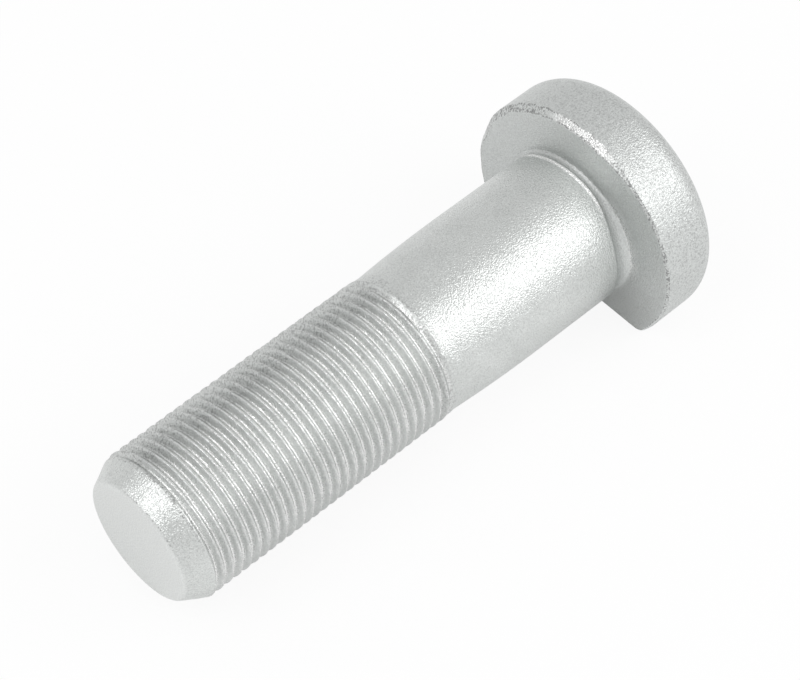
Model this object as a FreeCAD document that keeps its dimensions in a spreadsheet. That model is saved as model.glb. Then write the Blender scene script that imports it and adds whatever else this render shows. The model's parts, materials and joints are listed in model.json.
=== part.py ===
"""Wheel bolt for a hub: M22 x 1.5 thread, smooth shank, undercut neck and a round head with one flat.

The bolt lies on the flat of its head, as it comes to rest on a table. X runs along the axis from the tip to
the head and Z points up. The origin is on the table, below the middle of the bolt. All sizes are in mm.
"""
import FreeCAD, Part
import os

import Sketcher

NODE = "wheel_bolt"

# Driving sizes. Lengths along the bolt are counted from the tip.
SIZES = {
    "under_head_length": (78.0, "tip to the bearing face of the head"),
    "head_dia": (36.6, "round head"),
    "head_thickness": (10.5, "bearing face to the outer face of the head"),
    "rim_chamfer": (0.9, "45 degree edge between the bearing face and the rim"),
    "rim_round": (4.0, "forged round between the rim and the outer face"),
    "flat_distance": (11.5, "bolt axis to the flat on the head"),
    "flat_corner_round": (1.2, "round at both ends of the flat"),
    "flat_corner_turn": (35.0, "degrees that the round turns before it meets the rim"),
    "thread_dia": (22.0, "outside of the crests"),
    "thread_length": (44.5, "tip to the last full crest"),
    "tip_face_dia": (18.0, "flat end face of the tip"),
    "tip_length": (3.7, "tip to the first full crest"),
    "tip_round": (0.9, "round around the tip's end face"),
    "runout_length": (1.7, "last full crest to the neck where the thread runs out"),
    "neck_drop": (0.55, "neck below the shank's surface"),
    "blend_length": (15.8, "neck to the cylindrical shank"),
    "shank_dia": (22.6, "smooth shank in the hub flange"),
    "undercut_width": (2.6, "groove between the shank and the bearing face"),
    "undercut_depth": (0.7, "groove below the shank's surface"),
}

# The points of an edge, as sketches number them
EDGE_POINTS = ("whole edge", "start", "end", "centre")
START = EDGE_POINTS.index("start")
END = EDGE_POINTS.index("end")
CENTRE = EDGE_POINTS.index("centre")

TOLERANCE = 1e-4


def make_sheet(doc):
    """Writes each driving size into its own cell, with its name as the alias."""
    sheet = doc.addObject("Spreadsheet::Sheet", "Sizes")
    for row, (name, (value, meaning)) in enumerate(SIZES.items(), start=1):
        sheet.set("A%d" % row, name)
        sheet.set("B%d" % row, str(value))
        sheet.set("C%d" % row, meaning)
        sheet.setAlias("B%d" % row, name)
    doc.recompute()
    return sheet


def point(sheet, along, across):
    """The place that two expressions give, for a sketch's first draft."""
    return FreeCAD.Vector(float(sheet.evalExpression(along)), float(sheet.evalExpression(across)), 0)


def new_sketch(body, name, role):
    sketch = body.newObject("Sketcher::SketchObject", name)
    plane = next(item for item in body.Origin.OriginFeatures if item.Role == role)
    sketch.AttachmentSupport = [(plane, "")]
    sketch.MapMode = "FlatFace"
    return sketch


def bind(sketch, constraint, name, expression):
    """Adds a named dimension to a sketch and ties it to the sheet."""
    index = sketch.addConstraint(constraint)
    sketch.renameConstraint(index, name)
    sketch.setExpression("Constraints." + name, expression)


def bind_point(sketch, edge, end, name, along, across, draft):
    """Ties an end of an edge to its distances along and across the sketch."""
    bind(sketch, Sketcher.Constraint("DistanceX", edge, end, draft.x), name + "_along", along)
    bind(sketch, Sketcher.Constraint("DistanceY", edge, end, draft.y), name + "_across", across)


def arc(centre, start, end):
    """An arc that turns anticlockwise from start to end."""
    circle = Part.Circle(centre, FreeCAD.Vector(0, 0, 1), centre.distanceToPoint(start))
    return Part.ArcOfCircle(circle, circle.parameter(start), circle.parameter(end))


def turned_profile(body, sheet):
    """Half of the bolt's long section: tip, thread, neck, shank, undercut and head, closed along the axis."""
    neck = "Sizes.thread_length + Sizes.runout_length"
    shank = neck + " + Sizes.blend_length"
    bearing = "Sizes.under_head_length"
    outer = bearing + " + Sizes.head_thickness"
    undercut_rise = "((Sizes.undercut_width / 2) ^ 2 - Sizes.undercut_depth ^ 2) / (2 * Sizes.undercut_depth)"
    undercut_centre = "Sizes.shank_dia / 2 + " + undercut_rise
    blend_radius = "(Sizes.blend_length ^ 2 + Sizes.neck_drop ^ 2) / (2 * Sizes.neck_drop)"
    corners = {
        "tip_edge": ("0", "Sizes.tip_face_dia / 2"),
        "first_crest": ("Sizes.tip_length", "Sizes.thread_dia / 2"),
        "last_crest": ("Sizes.thread_length", "Sizes.thread_dia / 2"),
        "neck": (neck, "Sizes.shank_dia / 2 - Sizes.neck_drop"),
        "shank_start": (shank, "Sizes.shank_dia / 2"),
        "undercut_start": (bearing + " - Sizes.undercut_width", "Sizes.shank_dia / 2"),
        "undercut_end": (bearing, "Sizes.shank_dia / 2"),
        "bearing_edge": (bearing, "Sizes.head_dia / 2 - Sizes.rim_chamfer"),
        "rim_start": (bearing + " + Sizes.rim_chamfer", "Sizes.head_dia / 2"),
        "rim_end": (outer + " - Sizes.rim_round", "Sizes.head_dia / 2"),
        "outer_edge": (outer, "Sizes.head_dia / 2 - Sizes.rim_round"),
        "outer_middle": (outer, "0"),
    }
    draft = {name: point(sheet, *place) for name, place in corners.items()}
    blend_middle = point(sheet, shank, "Sizes.shank_dia / 2 - " + blend_radius)
    undercut_middle = point(sheet, bearing + " - Sizes.undercut_width / 2", undercut_centre)
    round_middle = FreeCAD.Vector(draft["rim_end"].x, draft["outer_edge"].y, 0)
    tip_middle = FreeCAD.Vector(0, 0, 0)

    sketch = new_sketch(body, "TurnedProfile", "XZ_Plane")
    edges = {
        "tip_face": Part.LineSegment(tip_middle, draft["tip_edge"]),
        "tip_cone": Part.LineSegment(draft["tip_edge"], draft["first_crest"]),
        "thread": Part.LineSegment(draft["first_crest"], draft["last_crest"]),
        "runout": Part.LineSegment(draft["last_crest"], draft["neck"]),
        "blend": arc(blend_middle, draft["shank_start"], draft["neck"]),
        "shank": Part.LineSegment(draft["shank_start"], draft["undercut_start"]),
        "undercut": arc(undercut_middle, draft["undercut_start"], draft["undercut_end"]),
        "bearing_face": Part.LineSegment(draft["undercut_end"], draft["bearing_edge"]),
        "rim_chamfer": Part.LineSegment(draft["bearing_edge"], draft["rim_start"]),
        "rim": Part.LineSegment(draft["rim_start"], draft["rim_end"]),
        "rim_round": arc(round_middle, draft["outer_edge"], draft["rim_end"]),
        "outer_face": Part.LineSegment(draft["outer_edge"], draft["outer_middle"]),
        "axis": Part.LineSegment(draft["outer_middle"], tip_middle),
    }
    index = {name: sketch.addGeometry(edge, False) for name, edge in edges.items()}

    # Each edge begins where the one before it ends. The blend and the rim's round run the other way.
    backward = ("blend", "rim_round")
    names = list(edges)
    for before, after in zip(names, names[1:] + names[:1]):
        leaving = START if before in backward else END
        entering = END if after in backward else START
        sketch.addConstraint(Sketcher.Constraint("Coincident", index[before], leaving, index[after], entering))

    sketch.addConstraint(Sketcher.Constraint("DistanceX", index["tip_face"], START, tip_middle.x))
    sketch.addConstraint(Sketcher.Constraint("DistanceY", index["tip_face"], START, tip_middle.y))
    sketch.addConstraint(Sketcher.Constraint("Vertical", index["tip_face"]))
    sketch.addConstraint(Sketcher.Constraint("Horizontal", index["axis"]))
    sketch.addConstraint(Sketcher.Constraint("Vertical", index["outer_face"]))
    bind(sketch, Sketcher.Constraint("DistanceY", index["tip_face"], END, draft["tip_edge"].y),
         "tip_edge_across", corners["tip_edge"][1])
    ends = {
        "first_crest": "tip_cone", "last_crest": "thread", "neck": "runout", "undercut_start": "shank",
        "bearing_edge": "bearing_face", "rim_start": "rim_chamfer", "rim_end": "rim",
    }
    for name, edge in ends.items():
        bind_point(sketch, index[edge], END, name, *corners[name], draft[name])
    starts = {"shank_start": "shank", "undercut_end": "bearing_face", "outer_edge": "outer_face"}
    for name, edge in starts.items():
        bind_point(sketch, index[edge], START, name, *corners[name], draft[name])

    # The blend is tangent to the shank, the rim's round is a quarter circle, the undercut has its depth.
    bind(sketch, Sketcher.Constraint("Radius", index["blend"], blend_middle.distanceToPoint(draft["neck"])),
         "blend_radius", blend_radius)
    bind(sketch, Sketcher.Constraint("DistanceY", index["undercut"], CENTRE, undercut_middle.y),
         "undercut_centre", undercut_centre)
    sketch.addConstraint(Sketcher.Constraint("Vertical", index["rim_round"], CENTRE, index["rim"], END))
    return sketch


def flat_outline(body, sheet):
    """What is cut from the round head: all below the flat, with a round at both ends of the flat."""
    rounding = "Sizes.flat_corner_round"
    turn = "Sizes.flat_corner_turn * 1 deg"
    outside = "Sizes.head_dia / 2 + " + rounding
    half = "sqrt((Sizes.head_dia / 2 - {0}) ^ 2 - (Sizes.flat_distance - {0}) ^ 2)".format(rounding)
    middle_height = rounding + " - Sizes.flat_distance"
    round_reach = "{} + {} * sin({})".format(half, rounding, turn)
    round_height = "{} - {} * cos({})".format(middle_height, rounding, turn)
    side_height = "{} + ({} - ({})) * tan({})".format(round_height, outside, round_reach, turn)
    corners = {
        "flat_end": (half, "-Sizes.flat_distance"),
        "round_end": (round_reach, round_height),
        "side": (outside, side_height),
        "bottom": (outside, "-({})".format(outside)),
    }
    right = {name: point(sheet, *place) for name, place in corners.items()}
    left = {name: FreeCAD.Vector(-place.x, place.y, 0) for name, place in right.items()}
    right_middle = point(sheet, half, middle_height)
    left_middle = FreeCAD.Vector(-right_middle.x, right_middle.y, 0)

    sketch = new_sketch(body, "FlatOutline", "YZ_Plane")
    sketch.setExpression("AttachmentOffset.Base.z", "Sizes.under_head_length")
    edges = {
        "flat": Part.LineSegment(left["flat_end"], right["flat_end"]),
        "right_round": arc(right_middle, right["flat_end"], right["round_end"]),
        "right_slope": Part.LineSegment(right["round_end"], right["side"]),
        "right_side": Part.LineSegment(right["side"], right["bottom"]),
        "bottom": Part.LineSegment(right["bottom"], left["bottom"]),
        "left_side": Part.LineSegment(left["bottom"], left["side"]),
        "left_slope": Part.LineSegment(left["side"], left["round_end"]),
        "left_round": arc(left_middle, left["round_end"], left["flat_end"]),
    }
    index = {name: sketch.addGeometry(edge, False) for name, edge in edges.items()}
    names = list(edges)
    for before, after in zip(names, names[1:] + names[:1]):
        sketch.addConstraint(Sketcher.Constraint("Coincident", index[before], END, index[after], START))

    # The right half has its places from the sheet, and the left half is its mirror image.
    right_ends = {"flat_end": "flat", "round_end": "right_round", "side": "right_slope", "bottom": "right_side"}
    left_starts = {"flat_end": "flat", "round_end": "left_round", "side": "left_slope", "bottom": "left_side"}
    for name, (along, across) in corners.items():
        mirrored = "-({})".format(along)
        bind_point(sketch, index[right_ends[name]], END, "right_" + name, along, across, right[name])
        bind_point(sketch, index[left_starts[name]], START, "left_" + name, mirrored, across, left[name])
    for side in ("right_round", "left_round"):
        height = Sketcher.Constraint("DistanceY", index[side], CENTRE, right_middle.y)
        bind(sketch, height, side + "_height", middle_height)
    return sketch


def edge_name(shape, centre_along, radius):
    """The round edge about the bolt's axis with this place and radius."""
    for number, edge in enumerate(shape.Edges, start=1):
        curve = edge.Curve
        if not isinstance(curve, Part.Circle):
            continue
        if abs(curve.Center.x - centre_along) < TOLERANCE and abs(curve.Radius - radius) < TOLERANCE:
            return "Edge%d" % number
    raise RuntimeError("no round edge of radius %.3f" % radius)


def wheel_bolt(doc, sheet):
    body = doc.addObject("PartDesign::Body", "WheelBolt")
    body.Label = NODE

    # The blank, turned about its axis
    profile = turned_profile(body, sheet)
    blank = body.newObject("PartDesign::Revolution", "TurnedBlank")
    blank.Profile = profile
    blank.ReferenceAxis = (profile, ["H_Axis"])
    blank.Angle = 360
    doc.recompute()

    # The round around the tip's end face
    tip = body.newObject("PartDesign::Fillet", "TipRound")
    tip.Base = (blank, [edge_name(blank.Shape, 0, sheet.tip_face_dia / 2)])
    tip.setExpression("Radius", "Sizes.tip_round")
    doc.recompute()
    round_volume = body.Shape.Volume

    # The flat that keeps the bolt from turning in the hub
    flat = body.newObject("PartDesign::Pocket", "HeadFlat")
    flat.Profile = flat_outline(body, sheet)
    flat.Type = "ThroughAll"
    flat.Reversed = True
    doc.recompute()
    if not body.Shape.Volume < round_volume:
        raise RuntimeError("the flat cuts nothing from the head")

    body.setExpression("Placement.Base.x", "-(Sizes.under_head_length + Sizes.head_thickness) / 2")
    body.setExpression("Placement.Base.z", "Sizes.flat_distance")
    doc.recompute()
    return body


def check(doc, body):
    for item in doc.Objects:
        if "Invalid" in item.State or "Error" in item.State:
            raise RuntimeError("%s failed: %s" % (item.Name, item.State))
    shape = body.Shape
    if shape.isNull() or not shape.isValid() or len(shape.Solids) != 1:
        raise RuntimeError(body.Label + " is not one valid solid")


def main():
    doc = FreeCAD.newDocument("WheelBolt")
    sheet = make_sheet(doc)
    body = wheel_bolt(doc, sheet)
    check(doc, body)
    os.makedirs("parts", exist_ok=True)
    body.Shape.exportStep("parts/%s.step" % body.Label)
    print(body.Label, "volume", round(body.Shape.Volume, 1), "mm3")


main()
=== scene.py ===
"""Wheel bolt with a rolled M22 x 1.5 thread and a silver zinc flake coating, on a plain white table.

The bolt lies along X with its tip at -X and the flat of its head on the table. Lengths are in metres, and
places along the bolt are counted from its tip. Angles about the axis start at the flat and turn
right-handed about +X.
"""
import json
import math

import bmesh
import bpy
import numpy as np
from mathutils import Matrix, Vector


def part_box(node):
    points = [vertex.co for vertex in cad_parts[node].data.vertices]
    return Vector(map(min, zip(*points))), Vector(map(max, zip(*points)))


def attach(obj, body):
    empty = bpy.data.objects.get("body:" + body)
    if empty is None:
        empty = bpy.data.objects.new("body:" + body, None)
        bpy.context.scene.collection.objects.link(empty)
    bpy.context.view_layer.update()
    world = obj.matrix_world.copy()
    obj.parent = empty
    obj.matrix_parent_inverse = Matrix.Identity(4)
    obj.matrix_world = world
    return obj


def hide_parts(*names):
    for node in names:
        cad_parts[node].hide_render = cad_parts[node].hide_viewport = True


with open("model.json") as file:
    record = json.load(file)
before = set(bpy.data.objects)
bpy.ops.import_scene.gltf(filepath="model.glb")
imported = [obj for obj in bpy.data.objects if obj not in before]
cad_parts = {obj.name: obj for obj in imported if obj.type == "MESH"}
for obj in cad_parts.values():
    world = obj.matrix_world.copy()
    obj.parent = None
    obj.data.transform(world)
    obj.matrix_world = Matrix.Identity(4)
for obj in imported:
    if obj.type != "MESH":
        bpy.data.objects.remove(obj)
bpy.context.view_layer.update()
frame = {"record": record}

MM = 0.001
NODE = "wheel_bolt"

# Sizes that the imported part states
LOW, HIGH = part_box(NODE)
MOUNTS = {mount["name"]: mount for mount in frame["record"]["mounts"]}
TIP_X = LOW.x
AXIS_Z = MOUNTS["thread"]["pos_m"][2]
BEARING = MOUNTS["bearing_face"]["pos_m"][0] - TIP_X
OUTER = HIGH.x - TIP_X
HEAD_R = (HIGH.y - LOW.y) / 2
THREAD_R = MOUNTS["thread"]["dims"]["r_mm"] * MM
THREAD_MIDDLE = MOUNTS["thread"]["pos_m"][0] - TIP_X
THREAD_HALF = MOUNTS["thread"]["dims"]["length_mm"] * MM / 2
FIRST_CREST = THREAD_MIDDLE - THREAD_HALF
LAST_CREST = THREAD_MIDDLE + THREAD_HALF
SHANK_R = MOUNTS["shank"]["dims"]["r_mm"] * MM
SHANK_MIDDLE = MOUNTS["shank"]["pos_m"][0] - TIP_X
SHANK_HALF = MOUNTS["shank"]["dims"]["length_mm"] * MM / 2
SHANK_START = SHANK_MIDDLE - SHANK_HALF
UNDERCUT_START = SHANK_MIDDLE + SHANK_HALF

# Turned form
TIP_FACE_R = 9.0 * MM
TIP_ROUND = 0.9 * MM
RUNOUT_LENGTH = 1.7 * MM
NECK_DROP = 0.55 * MM
UNDERCUT_DEPTH = 0.7 * MM
SHANK_REACH = 1.4 * MM
SHANK_LIP_HEIGHT = 0.17 * MM
SHANK_LIP_RISE = (-0.5 * MM, -0.12 * MM)
RIM_ROUND = 4.0 * MM
FLAT_DISTANCE = AXIS_Z
FLAT_CORNER_BLEND = 0.7 * MM
FLAT_EDGE_BREAK = 0.25 * MM
# The flat cuts only where the cosine of the angle from it is larger than this.
FLAT_FACING = 0.2
NO_LIMIT = 1.0

# Thread: a groove of 60 degrees, with its profile in shares of the pitch from the crest's middle
PITCH = 1.5 * MM
THREAD_START = -0.59 * MM
THREAD_DEPTH = 0.9 * MM
CREST_HALF = 0.06
CREST_SOFT = 0.04 * MM
CREST_WEAR = 0.04 * MM
ROOT_SOFT = 0.26 * MM
PROFILE_ROWS = (-0.09, -0.06, 0.06, 0.09, 0.27, 0.36, 0.41, 0.46, 0.54, 0.59, 0.64, 0.77)
GROOVE_IN = (3.1 * MM, 4.4 * MM)
GROOVE_OUT = (43.4 * MM, 45.8 * MM)
THREAD_ZONE = (3.0 * MM, 46.2 * MM)

# Look of the thread: where its parts begin and end in the pitch, in the groove's depth and along the bolt
CREST_EDGE = (0.07, 0.11)
ROOT_EDGE = (0.75, 0.92)
HEAD_FLANK = ((0.08, 0.14), (0.36, 0.41))
TIP_FLANK = ((-0.36, -0.16), (-0.02, 0.06))
WORN_DOTS = (0.2, 0.45)
FIRST_TURN = (3.6 * MM, 4.6 * MM)
LAST_TURN = ((42.5 * MM, 43.5 * MM), (45.4 * MM, 46.2 * MM))
ROLLED_GROOVE = 0.3
# Strengths of the painted highlight along the roots and of the painted shade on the flanks
ROOT_PAINTED_HIGHLIGHT = 0.8
HEAD_FLANK_SHADE = 0.5
TIP_FLANK_SHADE = 0.22
ROUGH_SPECKS = 0.63
LAST_TURN_SPECKS = 0.52
TIP_SPECKS = 0.67

# Nicks on the tip's round edge and the sheared skin beside it, as shares of that round
TIP_NICK_PLACE = 0.35
TIP_NICK_REACH = 0.15
SHEARED_REACH = 0.6

# Edge between the bearing face and the rim: wide and broken on one side, narrow on the other
CHAMFER_WIDE = 0.85 * MM
CHAMFER_NARROW = 0.3 * MM
CHAMFER_RAGGED = 0.16
RIM_SET_BACK = 1.08
# Wavy lines that make it ragged: how many waves, and the fewest and most times that one goes round
COARSE_WAVES = (6, 5, 22)
FINE_WAVES = (8, 22, 70)

# Look of the head
LINE_SPECKS = 1.5
SCRAPED_SPECKS = 0.9
NICKED_SPECKS = 0.95
BRIGHT_SPECKS = 0.6
CHAMFER_PAINTED_HIGHLIGHT = 0.7
RIM_SPECKS = 0.46
NICKED_RIM_SPECKS = 0.06
UNDERCUT_SHADE = 0.4
UNDERSIDE_SHADE = 0.55
UNDERCUT_EDGE_PAINTED_HIGHLIGHT = 0.8
UNDERCUT_EDGE_ROWS = 2

# Zones around the bolt in degrees from the flat: where they start and end, and how far each end fades
WIDE_CHAMFER = (95, 203, 9)
SCRAPED_CHAMFER = (100, 160, 8)
BRIGHT_CHAMFER = (164, 197, 5)
ROUGH_THREAD = (88, 172, 14)
NICKED_TIP = (165, 235, 15)
NICKED_RIM = (196, 285, 8)
LONG_SHANK = (75, 224, 30)
SHANK_LIP = (125, 214, 12)
DARK_UNDERCUT = (110, 214, 14)
BRIGHT_UNDERCUT_EDGE = (208, 275, 10)
DARK_UNDERSIDE = (284, 340, 22)

# Handling dents: how many, and the limits of their random places and sizes, in degrees and mm
CREST_DENTS = 150
CREST_DENT_TURNS = (3, 28.5)
CREST_DENT_LENGTH = 0.35 * PITCH
CREST_DENT_WIDTH = (0.25, 0.6)
CREST_DENT_DEPTH = (0.03, 0.12)
ALL_ROUND = (0, 360)
ROUGH_SIDE_DENTS = {
    "count": 60,
    "around": ROUGH_THREAD[:2],
    "along": (5, 45),
    "half_length": 0.5,
    "half_width": (0.3, 0.8),
    "depth": (0.05, 0.16),
}
RUNOUT_DENTS = {
    "count": 45,
    "around": ALL_ROUND,
    "along": (42.8, 45.6),
    "half_length": (0.2, 0.5),
    "half_width": (0.3, 1.2),
    "depth": (-0.12, 0.14),
}
TIP_DENTS = {
    "count": 40,
    "around": ALL_ROUND,
    "along": (0.5, 3.4),
    "half_length": (0.3, 0.9),
    "half_width": (0.5, 1.8),
    "depth": (-0.07, 0.12),
}
# The one larger notch on the tip's cone: its middle, angle, half length, half width and depth
TIP_NOTCH = (1.0 * MM, math.radians(126), 0.6 * MM, 1.2 * MM, 0.22 * MM)

# Rows of the mesh: their number, or their places as shares of the face that they lie on
COLUMNS = 176
CORNER_COLUMNS = 10
CORNER_REACH = math.radians(6)
TIP_FACE_ROWS = (0.25, 0.5, 0.75, 0.88)
TIP_ROUND_ROWS = 8
TIP_CONE_ROWS = 9
BLEND_ROWS = 16
SHANK_ROWS = 8
LIP_ROWS = 4
UNDERCUT_ROWS = 15
UNDERSIDE_ROWS = (0.0, 0.06, 0.25, 0.5, 0.75, 0.93, 0.975)
CHAMFER_ROWS = (0.03, 0.2, 0.5, 0.8, 0.97)
RIM_ROWS = (0.0, 0.08, 0.3, 0.55, 0.8)
RIM_ROUND_ROWS = 18
OUTER_ROWS = (0.96, 0.85, 0.7, 0.45, 0.2)
MERGE_DISTANCE = 0.0005 * MM
SEED = 22

# Traits, point by point: forged skin, rolled or sheared faces, crest (painted highlights, partly worn
# polish on the thread's crests), root (painted shade), worn edges
TRAITS = ("forged", "rolled", "crest", "root", "edge")

# Colours of the coating, with the painted highlight of the crest trait and the painted shade of the root
# trait
PLAIN_DARK = (0.72, 0.74, 0.728)
PLAIN_LIGHT = (0.78, 0.8, 0.787)
FORGED_SKIN = (0.72, 0.74, 0.73)
ROLLED_FACE = (0.82, 0.835, 0.825)
POLISH_AND_PAINTED_HIGHLIGHT = (0.97, 0.97, 0.965)
SHADED_ROOT = (0.25, 0.255, 0.25)
DULL_FLAKE = (0.42, 0.43, 0.42)
BROKEN_EDGE = (0.2, 0.2, 0.2)

# Table and light: the share of plain white that the camera and the bolt's reflections see on the table
TABLE_REACH = 2.0
TABLE_PAINT = (0.9, 0.9, 0.9, 1)
TABLE_WHITE_SEEN = 0.9
TABLE_WHITE_MIRRORED = 0.25
WHITE = (1, 1, 1, 1)
WORLD_STRENGTH = 0.75

# Camera of the photograph, as its place around the point that it looks at
CAMERA_AIM = Vector((6.75, 5.64, 2.84)) * MM
CAMERA_DISTANCE = 380 * MM
CAMERA_AZIMUTH = math.radians(-44.58)
CAMERA_ELEVATION = math.radians(53.03)
CAMERA_ROLL = math.radians(1.73)
CAMERA_LENS = 124.42
CAMERA_CLIP_START = 0.01
SENSOR_WIDTH = 36.0


def smooth_step(low, high, value):
    """Nothing up to the low limit, one from the high limit on, and a smooth rise between them."""
    share = np.clip((value - low) / (high - low), 0, 1)
    return share * share * (3 - 2 * share)


def smooth_min(one, other, softness):
    """The smaller of two values, with the corner between them rounded off."""
    share = np.clip(0.5 + 0.5 * (other - one) / softness, 0, 1)
    return other * (1 - share) + one * share - softness * share * (1 - share)


def smooth_max(one, other, softness):
    return -smooth_min(-one, -other, softness)


def smooth_span(rise, fall, value):
    """One between a rise and a fall, each given by its two limits, and nothing outside them."""
    return smooth_step(*rise, value) * (1 - smooth_step(*fall, value))


def ripple(angles, rng, waves, low, high):
    """A closed wavy line around the bolt, about between -1 and 1."""
    total = np.zeros_like(angles)
    for count in rng.integers(low, high, waves):
        total += np.sin(count * angles + rng.uniform(0, 2 * math.pi))
    return total / math.sqrt(waves)


def zone(angles, limits):
    """One within a zone around the bolt and nothing outside it, with soft ends."""
    start, end, soft = (math.radians(limit) for limit in limits)
    return smooth_span((start - soft, start + soft), (end - soft, end + soft), angles)


def column_angles():
    """Even steps around the bolt, with closer ones at both ends of the flat."""
    even = np.linspace(0, 2 * math.pi, COLUMNS, endpoint=False)
    corner = math.acos(FLAT_DISTANCE / HEAD_R)
    close = np.linspace(corner - CORNER_REACH, corner + CORNER_REACH, CORNER_COLUMNS)
    return np.unique(np.concatenate([even, close, 2 * math.pi - close]))


def length_within(rng, limits):
    """A random length between two limits in mm. One number in their place is the length itself."""
    if isinstance(limits, tuple):
        return rng.uniform(*limits) * MM
    return limits * MM


def crest_dents(rng):
    """Dents on the thread's crests."""
    dents = []
    for _ in range(CREST_DENTS):
        turn = rng.uniform(*CREST_DENT_TURNS)
        place = rng.uniform(0, 2 * math.pi)
        middle = THREAD_START + (turn + place / (2 * math.pi)) * PITCH
        width = length_within(rng, CREST_DENT_WIDTH)
        depth = length_within(rng, CREST_DENT_DEPTH)
        dents.append((middle, place, CREST_DENT_LENGTH, width, depth))
    return dents


def scattered_dents(rng, count, around, along, half_length, half_width, depth):
    """Dents at random places within limits."""
    dents = []
    for _ in range(count):
        place = math.radians(rng.uniform(*around))
        middle = length_within(rng, along)
        sizes = [length_within(rng, limits) for limits in (half_length, half_width, depth)]
        dents.append((middle, place, *sizes))
    return dents


def handling_dents(rng):
    """All small dents: middle along the bolt, angle, half length, half width and depth of each."""
    dents = crest_dents(rng)
    for kind in (ROUGH_SIDE_DENTS, RUNOUT_DENTS, TIP_DENTS):
        dents += scattered_dents(rng, **kind)
    return dents + [TIP_NOTCH]


def dented(along, radius, angle, dents):
    """A radius with all dents taken off it."""
    along, radius, angle = np.broadcast_arrays(along, radius, angle)
    result = radius.copy()
    for middle, place, half_length, half_width, depth in dents:
        around = ((angle - place + math.pi) % (2 * math.pi) - math.pi) * THREAD_R
        away = ((along - middle) / half_length) ** 2 + (around / half_width) ** 2
        result -= depth * np.exp(-away)
    return result


def arc_points(middle, radius, start, end, count):
    """Points of an arc in the long section: place along the bolt and distance from its axis."""
    turns = np.linspace(start, end, count)
    return [(middle[0] + radius * np.cos(turn), middle[1] + radius * np.sin(turn)) for turn in turns]


def blank_radius(along):
    """The bolt's outside from the tip's cone to the shank, without the grooves of the thread."""
    neck = LAST_CREST + RUNOUT_LENGTH
    neck_r = SHANK_R - NECK_DROP
    blend_r = ((SHANK_START - neck) ** 2 + NECK_DROP ** 2) / (2 * NECK_DROP)
    cone = TIP_FACE_R + (THREAD_R - TIP_FACE_R) * along / FIRST_CREST
    runout = np.interp(along, [LAST_CREST, neck], [THREAD_R, neck_r])
    outside = np.minimum(cone, runout)
    inside = np.clip(SHANK_START - along, 0, SHANK_START - neck)
    shank = SHANK_R - blend_r + np.sqrt(blend_r ** 2 - inside ** 2)
    return np.where(along < neck, outside, shank)


def groove_depth(along, angle):
    """The groove's depth, the place in the pitch from the crest's middle, and how far it is rolled in.

    The depth has soft crests and round roots.
    """
    turns = (along - THREAD_START) / PITCH - angle / (2 * math.pi)
    share = (turns + 0.5) % 1 - 0.5
    flank = (np.abs(share) - CREST_HALF) * PITCH * math.sqrt(3)
    depth = smooth_min(smooth_max(flank, 0.0, CREST_SOFT), THREAD_DEPTH, ROOT_SOFT)
    return depth, share, smooth_span(GROOVE_IN, GROOVE_OUT, along)


class Surface:
    """Collects the bolt's points and faces, row by row."""

    def __init__(self, angles):
        self.angles = angles
        self.points = []
        self.faces = []
        self.traits = {name: [] for name in TRAITS}
        self.count = 0

    def add(self, along, radius, angle, **traits):
        """Adds points by place along the bolt, distance from its axis and angle; returns their numbers."""
        along, radius, angle = np.broadcast_arrays(along, radius, angle)
        for name in TRAITS:
            self.traits[name].append(np.broadcast_to(traits.get(name, 0.0), along.shape).ravel())
        places = np.stack([
            TIP_X + along,
            radius * np.sin(angle),
            AXIS_Z - radius * np.cos(angle),
        ], axis=-1).reshape(-1, 3)
        numbers = self.count + np.arange(len(places))
        self.points.append(places)
        self.count += len(places)
        return numbers.reshape(along.shape)

    def ring(self, along, radius, **traits):
        return self.add(along, radius, self.angles, **traits)

    def join(self, rings):
        """Quads between rows of points around the bolt, each to the next."""
        for before, after in zip(rings, rings[1:]):
            quads = np.stack([before, np.roll(before, -1), np.roll(after, -1), after], axis=-1)
            self.faces.extend(quads.tolist())

    def cap(self, ring, along, at_tip, **traits):
        """A fan that closes a ring at a point on the axis."""
        middle = int(self.add(along, 0.0, 0.0, **traits))
        for one, other in zip(ring.tolist(), np.roll(ring, -1).tolist()):
            self.faces.append((other, one, middle) if at_tip else (one, other, middle))


def add_tip(surface, dents):
    """Flat end face, its round edge and the cone up to the thread."""
    slope = math.atan2(THREAD_R - TIP_FACE_R, FIRST_CREST)
    turn = math.pi / 2 - slope
    set_back = TIP_ROUND * math.tan(turn / 2)
    middle = (TIP_ROUND, TIP_FACE_R - set_back)
    rows = [(0.0, TIP_FACE_R * share) for share in TIP_FACE_ROWS]
    rows += arc_points(middle, TIP_ROUND, math.pi, math.pi - turn, TIP_ROUND_ROWS)
    cone_start = rows[-1][0]
    for along in np.linspace(cone_start, THREAD_ZONE[0], TIP_CONE_ROWS)[1:]:
        rows.append((along, blank_radius(along)))
    nicked = TIP_SPECKS * zone(surface.angles, NICKED_TIP)
    rings = []
    for along, radius in rows:
        at_edge = abs(along - TIP_NICK_PLACE * TIP_ROUND) < TIP_NICK_REACH * TIP_ROUND
        worn = dented(along, radius, surface.angles, dents) if along > 0 else radius
        sheared = 1 - smooth_step(0.0, SHEARED_REACH * TIP_ROUND, along)
        rings.append(surface.ring(along, worn, edge=nicked if at_edge else 0.0, rolled=sheared))
    surface.cap(rings[0], 0.0, at_tip=True, rolled=1.0)
    surface.join(rings)


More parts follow.
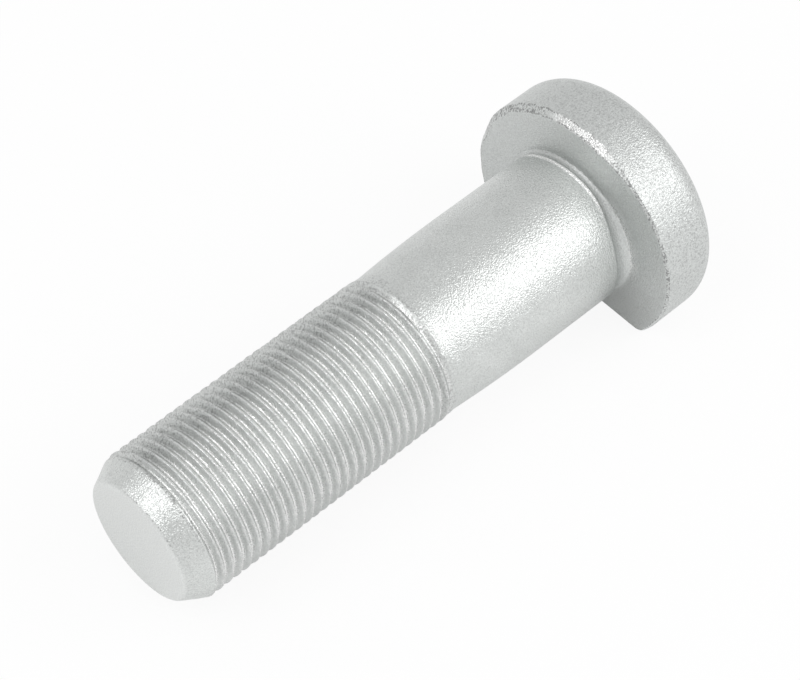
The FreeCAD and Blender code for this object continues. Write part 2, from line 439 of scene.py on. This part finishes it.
def thread_look(along, angle, depth, share, full, crest, worn_off):
    """The coating's traits on the thread: worn dots of painted highlight on its crests, a painted highlight
    along its roots, and painted shade on its flanks and, on the rough side, in its roots.

    Specks lie on its rough side, on the tip's first turn and where the thread runs out.
    """
    rough_side = zone(angle, ROUGH_THREAD)
    bottom = smooth_step(*ROOT_EDGE, depth / THREAD_DEPTH)
    dotted = crest * (1 - smooth_step(*WORN_DOTS, worn_off))
    # Painted highlight: worn dots on the crests and a line along the roots, both away from the rough side
    painted_highlight = full * np.maximum(dotted, ROOT_PAINTED_HIGHLIGHT * bottom) * (1 - rough_side)
    head_flank = np.maximum(smooth_span(*HEAD_FLANK, share), rough_side * bottom)
    tip_flank = smooth_span(*TIP_FLANK, share)
    shade = full * np.maximum(HEAD_FLANK_SHADE * head_flank, TIP_FLANK_SHADE * tip_flank)
    first_turn = (1 - smooth_step(*FIRST_TURN, along)) * zone(angle, NICKED_TIP)
    last_turn = smooth_span(*LAST_TURN, along)
    specks = np.maximum(ROUGH_SPECKS * rough_side, LAST_TURN_SPECKS * last_turn)
    specks = np.maximum(specks, TIP_SPECKS * first_turn)
    specks = np.where(along > THREAD_ZONE[0], specks, 0.0)
    return {"rolled": ROLLED_GROOVE * full, "crest": painted_highlight, "root": shade, "edge": specks}


def add_thread(surface, dents, rng):
    """Rows that follow the helix. Rows that would pass an end of the thread's zone stop at it."""
    low, high = THREAD_ZONE
    first_turn = math.floor((low - THREAD_START) / PITCH) - 1
    last_turn = math.ceil((high - THREAD_START) / PITCH) + 1
    starts = np.array([
        THREAD_START + (turn + share) * PITCH
        for turn in range(first_turn, last_turn) for share in PROFILE_ROWS
    ])
    angle = surface.angles[None, :]
    along = np.clip(starts[:, None] + PITCH * angle / (2 * math.pi), low, high)
    depth, share, full = groove_depth(along, angle)
    worn_off = rng.uniform(0, 1, along.shape)
    crest = 1 - smooth_step(*CREST_EDGE, np.abs(share))
    radius = blank_radius(along) - (depth + CREST_WEAR * worn_off * crest) * full
    radius = dented(along, radius, angle, dents)
    look = thread_look(along, angle, depth, share, full, crest, worn_off)
    rows = surface.add(along, radius, angle, **look)
    per_turn = len(PROFILE_ROWS)
    # A row goes on, one turn later, in the row that lies one pitch further.
    turned = np.concatenate([rows[:-per_turn, 1:], rows[per_turn:, :1]], axis=1)
    here = rows[:-per_turn]
    quads = np.stack([here[:-1], turned[:-1], turned[1:], here[1:]], axis=-1)
    surface.faces.extend(quads.reshape(-1, 4).tolist())


def add_shank(surface, dents, shank_end):
    """Blend and shank, with a raised lip along a part of the shank's end that carries a painted highlight;
    returns the rings.
    """
    angles = surface.angles
    lip_start, lip_end = (shank_end + place for place in SHANK_LIP_RISE)
    rows = list(np.linspace(THREAD_ZONE[1], SHANK_START, BLEND_ROWS))
    rows += list(np.linspace(SHANK_START, lip_start, SHANK_ROWS)[1:])
    rows += list(np.linspace(lip_start, lip_end, LIP_ROWS)[1:])
    rows += [shank_end]
    rings = []
    for along in rows:
        lip = zone(angles, SHANK_LIP) * smooth_step(lip_start, lip_end, along)
        radius = dented(along, blank_radius(along), angles, dents) + SHANK_LIP_HEIGHT * lip
        # The lip's crest trait is a painted highlight
        rings.append(surface.ring(along, radius, crest=lip))
    return rings


def add_undercut(surface, shank_end):
    """Round groove below the head, shallower where it is narrow; returns the rings."""
    half = (BEARING - shank_end) / 2
    depth = UNDERCUT_DEPTH * half / half.max()
    rise = (half ** 2 - depth ** 2) / (2 * depth)
    opening = np.arctan2(rise, half)
    middle = (shank_end + half, SHANK_R + rise)
    rows = arc_points(middle, rise + depth, math.pi + opening, 2 * math.pi - opening, UNDERCUT_ROWS)
    shade = UNDERCUT_SHADE * zone(surface.angles, DARK_UNDERCUT)
    return [surface.ring(along, radius, forged=1.0, root=shade) for along, radius in rows[1:-1]]


def chamfer_width(angles, rng):
    """The broken edge under the head, wide where the trimming left it ragged."""
    width = CHAMFER_NARROW + (CHAMFER_WIDE - CHAMFER_NARROW) * zone(angles, WIDE_CHAMFER)
    coarse = ripple(angles, rng, *COARSE_WAVES)
    fine = ripple(angles, rng, *FINE_WAVES)
    return width * (1 + CHAMFER_RAGGED * (coarse + fine) / 2)


def cut_flat(along, radius, angles):
    """Takes the flat off the head: no point lies lower than the flat, and its edges are broken."""
    facing = np.cos(angles)
    near_edge = np.minimum(along - BEARING, OUTER - along)
    edge_break = np.clip(FLAT_EDGE_BREAK - near_edge, 0, FLAT_EDGE_BREAK)
    flat = (FLAT_DISTANCE - edge_break) / np.maximum(facing, FLAT_FACING)
    limit = np.where(facing > FLAT_FACING, flat, NO_LIMIT)
    return smooth_min(radius, limit, FLAT_CORNER_BLEND)


def add_head(surface, rng):
    """Bearing face, its broken edge, rim with its flat, and outer face; returns the rings."""
    angles = surface.angles
    width = chamfer_width(angles, rng)
    rings = []

    def head_ring(along, radius, **look):
        rings.append(surface.ring(along, cut_flat(along, radius, angles), forged=1.0, **look))

    shade = UNDERSIDE_SHADE * zone(angles, DARK_UNDERSIDE)
    # A painted highlight along the undercut's edge, on the first rows of the bearing face
    painted_edge_highlight = UNDERCUT_EDGE_PAINTED_HIGHLIGHT * zone(angles, BRIGHT_UNDERCUT_EDGE)
    for number, share in enumerate(UNDERSIDE_ROWS):
        painted_highlight = painted_edge_highlight if number < UNDERCUT_EDGE_ROWS else 0.0
        head_ring(BEARING, SHANK_R + (HEAD_R - width - SHANK_R) * share, crest=painted_highlight, root=shade)

    nicked = zone(angles, NICKED_RIM)
    # Painted highlight across the chamfer's bright zone, with specks in it
    bright = zone(angles, BRIGHT_CHAMFER)
    specks = np.maximum(SCRAPED_SPECKS * zone(angles, SCRAPED_CHAMFER), NICKED_SPECKS * nicked)
    specks = np.maximum(specks, BRIGHT_SPECKS * bright)
    for share in CHAMFER_ROWS:
        at_line = share in (CHAMFER_ROWS[0], CHAMFER_ROWS[-1])
        edge = LINE_SPECKS if at_line else specks
        radius = HEAD_R - width * (1 - share)
        head_ring(BEARING + width * share, radius, crest=CHAMFER_PAINTED_HIGHLIGHT * bright, edge=edge)

    rim_start = BEARING + width * RIM_SET_BACK
    rim_end = OUTER - RIM_ROUND
    outer_edge = HEAD_R - RIM_ROUND
    rows = [(rim_start + (rim_end - rim_start) * share, HEAD_R) for share in RIM_ROWS]
    rows += arc_points((rim_end, outer_edge), RIM_ROUND, math.pi / 2, 0.0, RIM_ROUND_ROWS)
    rows += [(OUTER, outer_edge * share) for share in OUTER_ROWS]
    for along, radius in rows:
        head_ring(along, radius, edge=RIM_SPECKS + NICKED_RIM_SPECKS * nicked)
    return rings


def add_shank_and_head(surface, dents, rng):
    """All from the end of the thread to the head's outer face.

    On the upper side the shank's end lies nearer to the head, so that the undercut is narrower there.
    """
    shank_end = UNDERCUT_START + SHANK_REACH * zone(surface.angles, LONG_SHANK)
    rings = add_shank(surface, dents, shank_end)
    rings += add_undercut(surface, shank_end)
    rings += add_head(surface, rng)
    surface.join(rings)
    surface.cap(rings[-1], OUTER, at_tip=False, forged=1.0)


def clean_mesh(mesh):
    """Merges points that lie at one place, takes out what is left over and shades all faces smooth."""
    work = bmesh.new()
    work.from_mesh(mesh)
    bmesh.ops.remove_doubles(work, verts=work.verts, dist=MERGE_DISTANCE)
    bmesh.ops.dissolve_degenerate(work, edges=work.edges, dist=MERGE_DISTANCE)
    loose = [vert for vert in work.verts if not vert.link_faces]
    bmesh.ops.delete(work, geom=loose, context="VERTS")
    for face in work.faces:
        face.smooth = True
    work.to_mesh(mesh)
    work.free()


def build_bolt():
    rng = np.random.default_rng(SEED)
    surface = Surface(column_angles())
    dents = handling_dents(rng)
    add_tip(surface, dents)
    add_thread(surface, dents, rng)
    add_shank_and_head(surface, dents, rng)

    mesh = bpy.data.meshes.new("bolt")
    mesh.from_pydata(np.concatenate(surface.points).tolist(), [], surface.faces)
    for name, values in surface.traits.items():
        attribute = mesh.attributes.new(name, "FLOAT", "POINT")
        attribute.data.foreach_set("value", np.concatenate(values).astype(np.float32))
    clean_mesh(mesh)
    bolt = bpy.data.objects.new("bolt", mesh)
    bpy.context.scene.collection.objects.link(bolt)
    shading = bolt.modifiers.new("shading", "WEIGHTED_NORMAL")
    shading.keep_sharp = False
    return bolt


class Nodes:
    """Short calls for making and linking a material's nodes."""

    def __init__(self, tree):
        self.tree = tree
        tree.nodes.clear()

    def new(self, kind, **settings):
        """A node with values for its inputs, by their names, and for its other settings."""
        node = self.tree.nodes.new(kind)
        for name, value in settings.items():
            if name in node.inputs:
                node.inputs[name].default_value = value
            else:
                setattr(node, name, value)
        return node

    def link(self, output, target):
        self.tree.links.new(output, target)

    def noise(self, place, scale, detail, roughness):
        node = self.new("ShaderNodeTexNoise", Scale=scale, Detail=detail, Roughness=roughness)
        self.link(place, node.inputs["Vector"])
        return node.outputs["Fac"]

    def spread(self, value, given, wanted):
        """Stretches a value from one range to another."""
        node = self.new("ShaderNodeMapRange")
        for side, low_and_high in (("From", given), ("To", wanted)):
            node.inputs[f"{side} Min"].default_value = low_and_high[0]
            node.inputs[f"{side} Max"].default_value = low_and_high[1]
        self.link(value, node.inputs["Value"])
        return node.outputs["Result"]

    def trait(self, name):
        return self.new("ShaderNodeAttribute", attribute_name=name).outputs["Fac"]

    def trait_between(self, name, none, full):
        """A value for places without a trait, another for places that have it in full, and between them."""
        return self.spread(self.trait(name), (0.0, 1.0), (none, full))

    def blend(self, share, one, other):
        """A colour between two others. Each of the two is a colour or another node's output."""
        node = self.new("ShaderNodeMix", data_type="RGBA")
        self.link(share, node.inputs["Factor"])
        for name, colour in (("A", one), ("B", other)):
            socket = next(item for item in node.inputs if item.name == name and item.type == "RGBA")
            if isinstance(colour, tuple):
                socket.default_value = (*colour, 1)
            else:
                self.link(colour, socket)
        return next(item for item in node.outputs if item.type == "RGBA")

    def calculate(self, operation, one, other):
        """Two values worked together. The second is a number or another node's output."""
        node = self.new("ShaderNodeMath", operation=operation)
        self.link(one, node.inputs[0])
        if isinstance(other, float):
            node.inputs[1].default_value = other
        else:
            self.link(other, node.inputs[1])
        return node.outputs["Value"]


def coating_material():
    """Zinc flake coating: satin silver-grey metal with a fine grain, rougher on the forged head."""
    material = bpy.data.materials.new("zinc_flake_coating")
    material.use_nodes = True
    nodes = Nodes(material.node_tree)
    output = nodes.new("ShaderNodeOutputMaterial")
    shader = nodes.new("ShaderNodeBsdfPrincipled", Metallic=1.0)
    nodes.link(shader.outputs["BSDF"], output.inputs["Surface"])
    place = nodes.new("ShaderNodeTexCoord").outputs["Object"]

    clouds = nodes.noise(place, scale=180.0, detail=3.0, roughness=0.5)
    grain = nodes.noise(place, scale=4500.0, detail=1.0, roughness=0.5)
    flakes = nodes.noise(place, scale=4700.0, detail=2.0, roughness=0.6)
    specks = nodes.noise(place, scale=2900.0, detail=3.0, roughness=0.65)

    cloudy = nodes.spread(clouds, given=(0.35, 0.65), wanted=(0.0, 1.0))
    colour = nodes.blend(cloudy, PLAIN_DARK, PLAIN_LIGHT)
    colour = nodes.blend(nodes.trait("forged"), colour, FORGED_SKIN)
    colour = nodes.blend(nodes.trait("rolled"), colour, ROLLED_FACE)
    # Painted highlights from the crest trait; on the thread's crests they are partly worn polish
    colour = nodes.blend(nodes.trait("crest"), colour, POLISH_AND_PAINTED_HIGHLIGHT)
    shaded = nodes.trait_between("root", none=0.0, full=0.65)
    colour = nodes.blend(shaded, colour, SHADED_ROOT)
    skin = nodes.trait_between("rolled", none=1.0, full=0.6)
    dull = nodes.spread(flakes, given=(0.6, 0.38), wanted=(0.0, 0.4))
    colour = nodes.blend(nodes.calculate("MULTIPLY", dull, skin), colour, DULL_FLAKE)
    speckled = nodes.spread(specks, given=(0.45, 0.58), wanted=(0.0, 1.0))
    speckled = nodes.calculate("MULTIPLY", speckled, nodes.trait("edge"))
    broken = nodes.spread(speckled, given=(0.3, 0.8), wanted=(0.0, 0.75))
    nodes.link(nodes.blend(broken, colour, BROKEN_EDGE), shader.inputs["Base Color"])

    flaky = nodes.spread(flakes, given=(0.3, 0.7), wanted=(0.26, 0.36))
    forged = nodes.trait_between("forged", none=0.0, full=0.1)
    sheared = nodes.trait_between("rolled", none=0.0, full=0.16)
    polished = nodes.trait_between("crest", none=0.0, full=0.18)
    rough = nodes.calculate("ADD", nodes.calculate("ADD", flaky, forged), sheared)
    nodes.link(nodes.calculate("SUBTRACT", rough, polished), shader.inputs["Roughness"])

    peel = nodes.new("ShaderNodeBump", Distance=0.11 * MM)
    nodes.link(grain, peel.inputs["Height"])
    nodes.link(skin, peel.inputs["Strength"])
    nodes.link(peel.outputs["Normal"], shader.inputs["Normal"])
    return material


def table_material():
    """White table: it shows white to the camera and in reflections, and still takes the bolt's shadow."""
    material = bpy.data.materials.new("white_table")
    material.use_nodes = True
    nodes = Nodes(material.node_tree)
    output = nodes.new("ShaderNodeOutputMaterial")
    paint = nodes.new("ShaderNodeBsdfDiffuse", Color=TABLE_PAINT)
    glow = nodes.new("ShaderNodeEmission", Color=WHITE, Strength=1.0)
    path = nodes.new("ShaderNodeLightPath").outputs
    seen = nodes.calculate("MULTIPLY", path["Is Camera Ray"], TABLE_WHITE_SEEN)
    reflected = nodes.calculate("MAXIMUM", path["Is Glossy Ray"], path["Is Transmission Ray"])
    mirrored = nodes.calculate("MULTIPLY", reflected, TABLE_WHITE_MIRRORED)
    mix = nodes.new("ShaderNodeMixShader")
    nodes.link(nodes.calculate("MAXIMUM", seen, mirrored), mix.inputs[0])
    nodes.link(paint.outputs["BSDF"], mix.inputs[1])
    nodes.link(glow.outputs["Emission"], mix.inputs[2])
    nodes.link(mix.outputs["Shader"], output.inputs["Surface"])
    return material


def build_table():
    reach = TABLE_REACH
    corners = [(-reach, -reach, 0), (reach, -reach, 0), (reach, reach, 0), (-reach, reach, 0)]
    mesh = bpy.data.meshes.new("table")
    mesh.from_pydata(corners, [], [(0, 1, 2, 3)])
    table = bpy.data.objects.new("table", mesh)
    table.data.materials.append(table_material())
    bpy.context.scene.collection.objects.link(table)


def build_world():
    world = bpy.data.worlds.new("studio")
    bpy.context.scene.world = world
    world.use_nodes = True
    background = world.node_tree.nodes["Background"]
    background.inputs["Color"].default_value = WHITE
    background.inputs["Strength"].default_value = WORLD_STRENGTH


def add_softbox(name, direction, distance, size, radiance):
    """A square lamp that faces the bolt, as bright as its radiance says."""
    lamp = bpy.data.lights.new(name, "AREA")
    lamp.shape = "SQUARE"
    lamp.size = size
    lamp.energy = radiance * math.pi * size ** 2
    softbox = bpy.data.objects.new(name, lamp)
    toward = Vector(direction).normalized()
    softbox.location = toward * distance
    softbox.rotation_euler = toward.to_track_quat("Z", "Y").to_euler()
    bpy.context.scene.collection.objects.link(softbox)


def build_lights():
    add_softbox("right_softbox", direction=(0.48, -0.6, 0.64), distance=0.6, size=0.42, radiance=1.8)
    add_softbox("left_softbox", direction=(-0.58, 0.12, 0.8), distance=0.6, size=0.32, radiance=2.2)


def build_camera():
    flat = math.cos(CAMERA_ELEVATION)
    back = Vector((
        math.sin(CAMERA_AZIMUTH) * flat,
        -math.cos(CAMERA_AZIMUTH) * flat,
        math.sin(CAMERA_ELEVATION),
    ))
    data = bpy.data.cameras.new("camera")
    data.lens = CAMERA_LENS
    data.sensor_width = SENSOR_WIDTH
    data.clip_start = CAMERA_CLIP_START
    camera = bpy.data.objects.new("camera", data)
    turn = back.to_track_quat("Z", "Y").to_matrix().to_4x4() @ Matrix.Rotation(CAMERA_ROLL, 4, "Z")
    camera.matrix_world = Matrix.Translation(CAMERA_AIM + back * CAMERA_DISTANCE) @ turn
    bpy.context.scene.collection.objects.link(camera)
    bpy.context.scene.camera = camera


bolt = build_bolt()
bolt.data.materials.append(coating_material())
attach(bolt, "root")
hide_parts(NODE)
build_table()
build_world()
build_lights()
build_camera()
bpy.context.scene.view_settings.view_transform = "Standard"
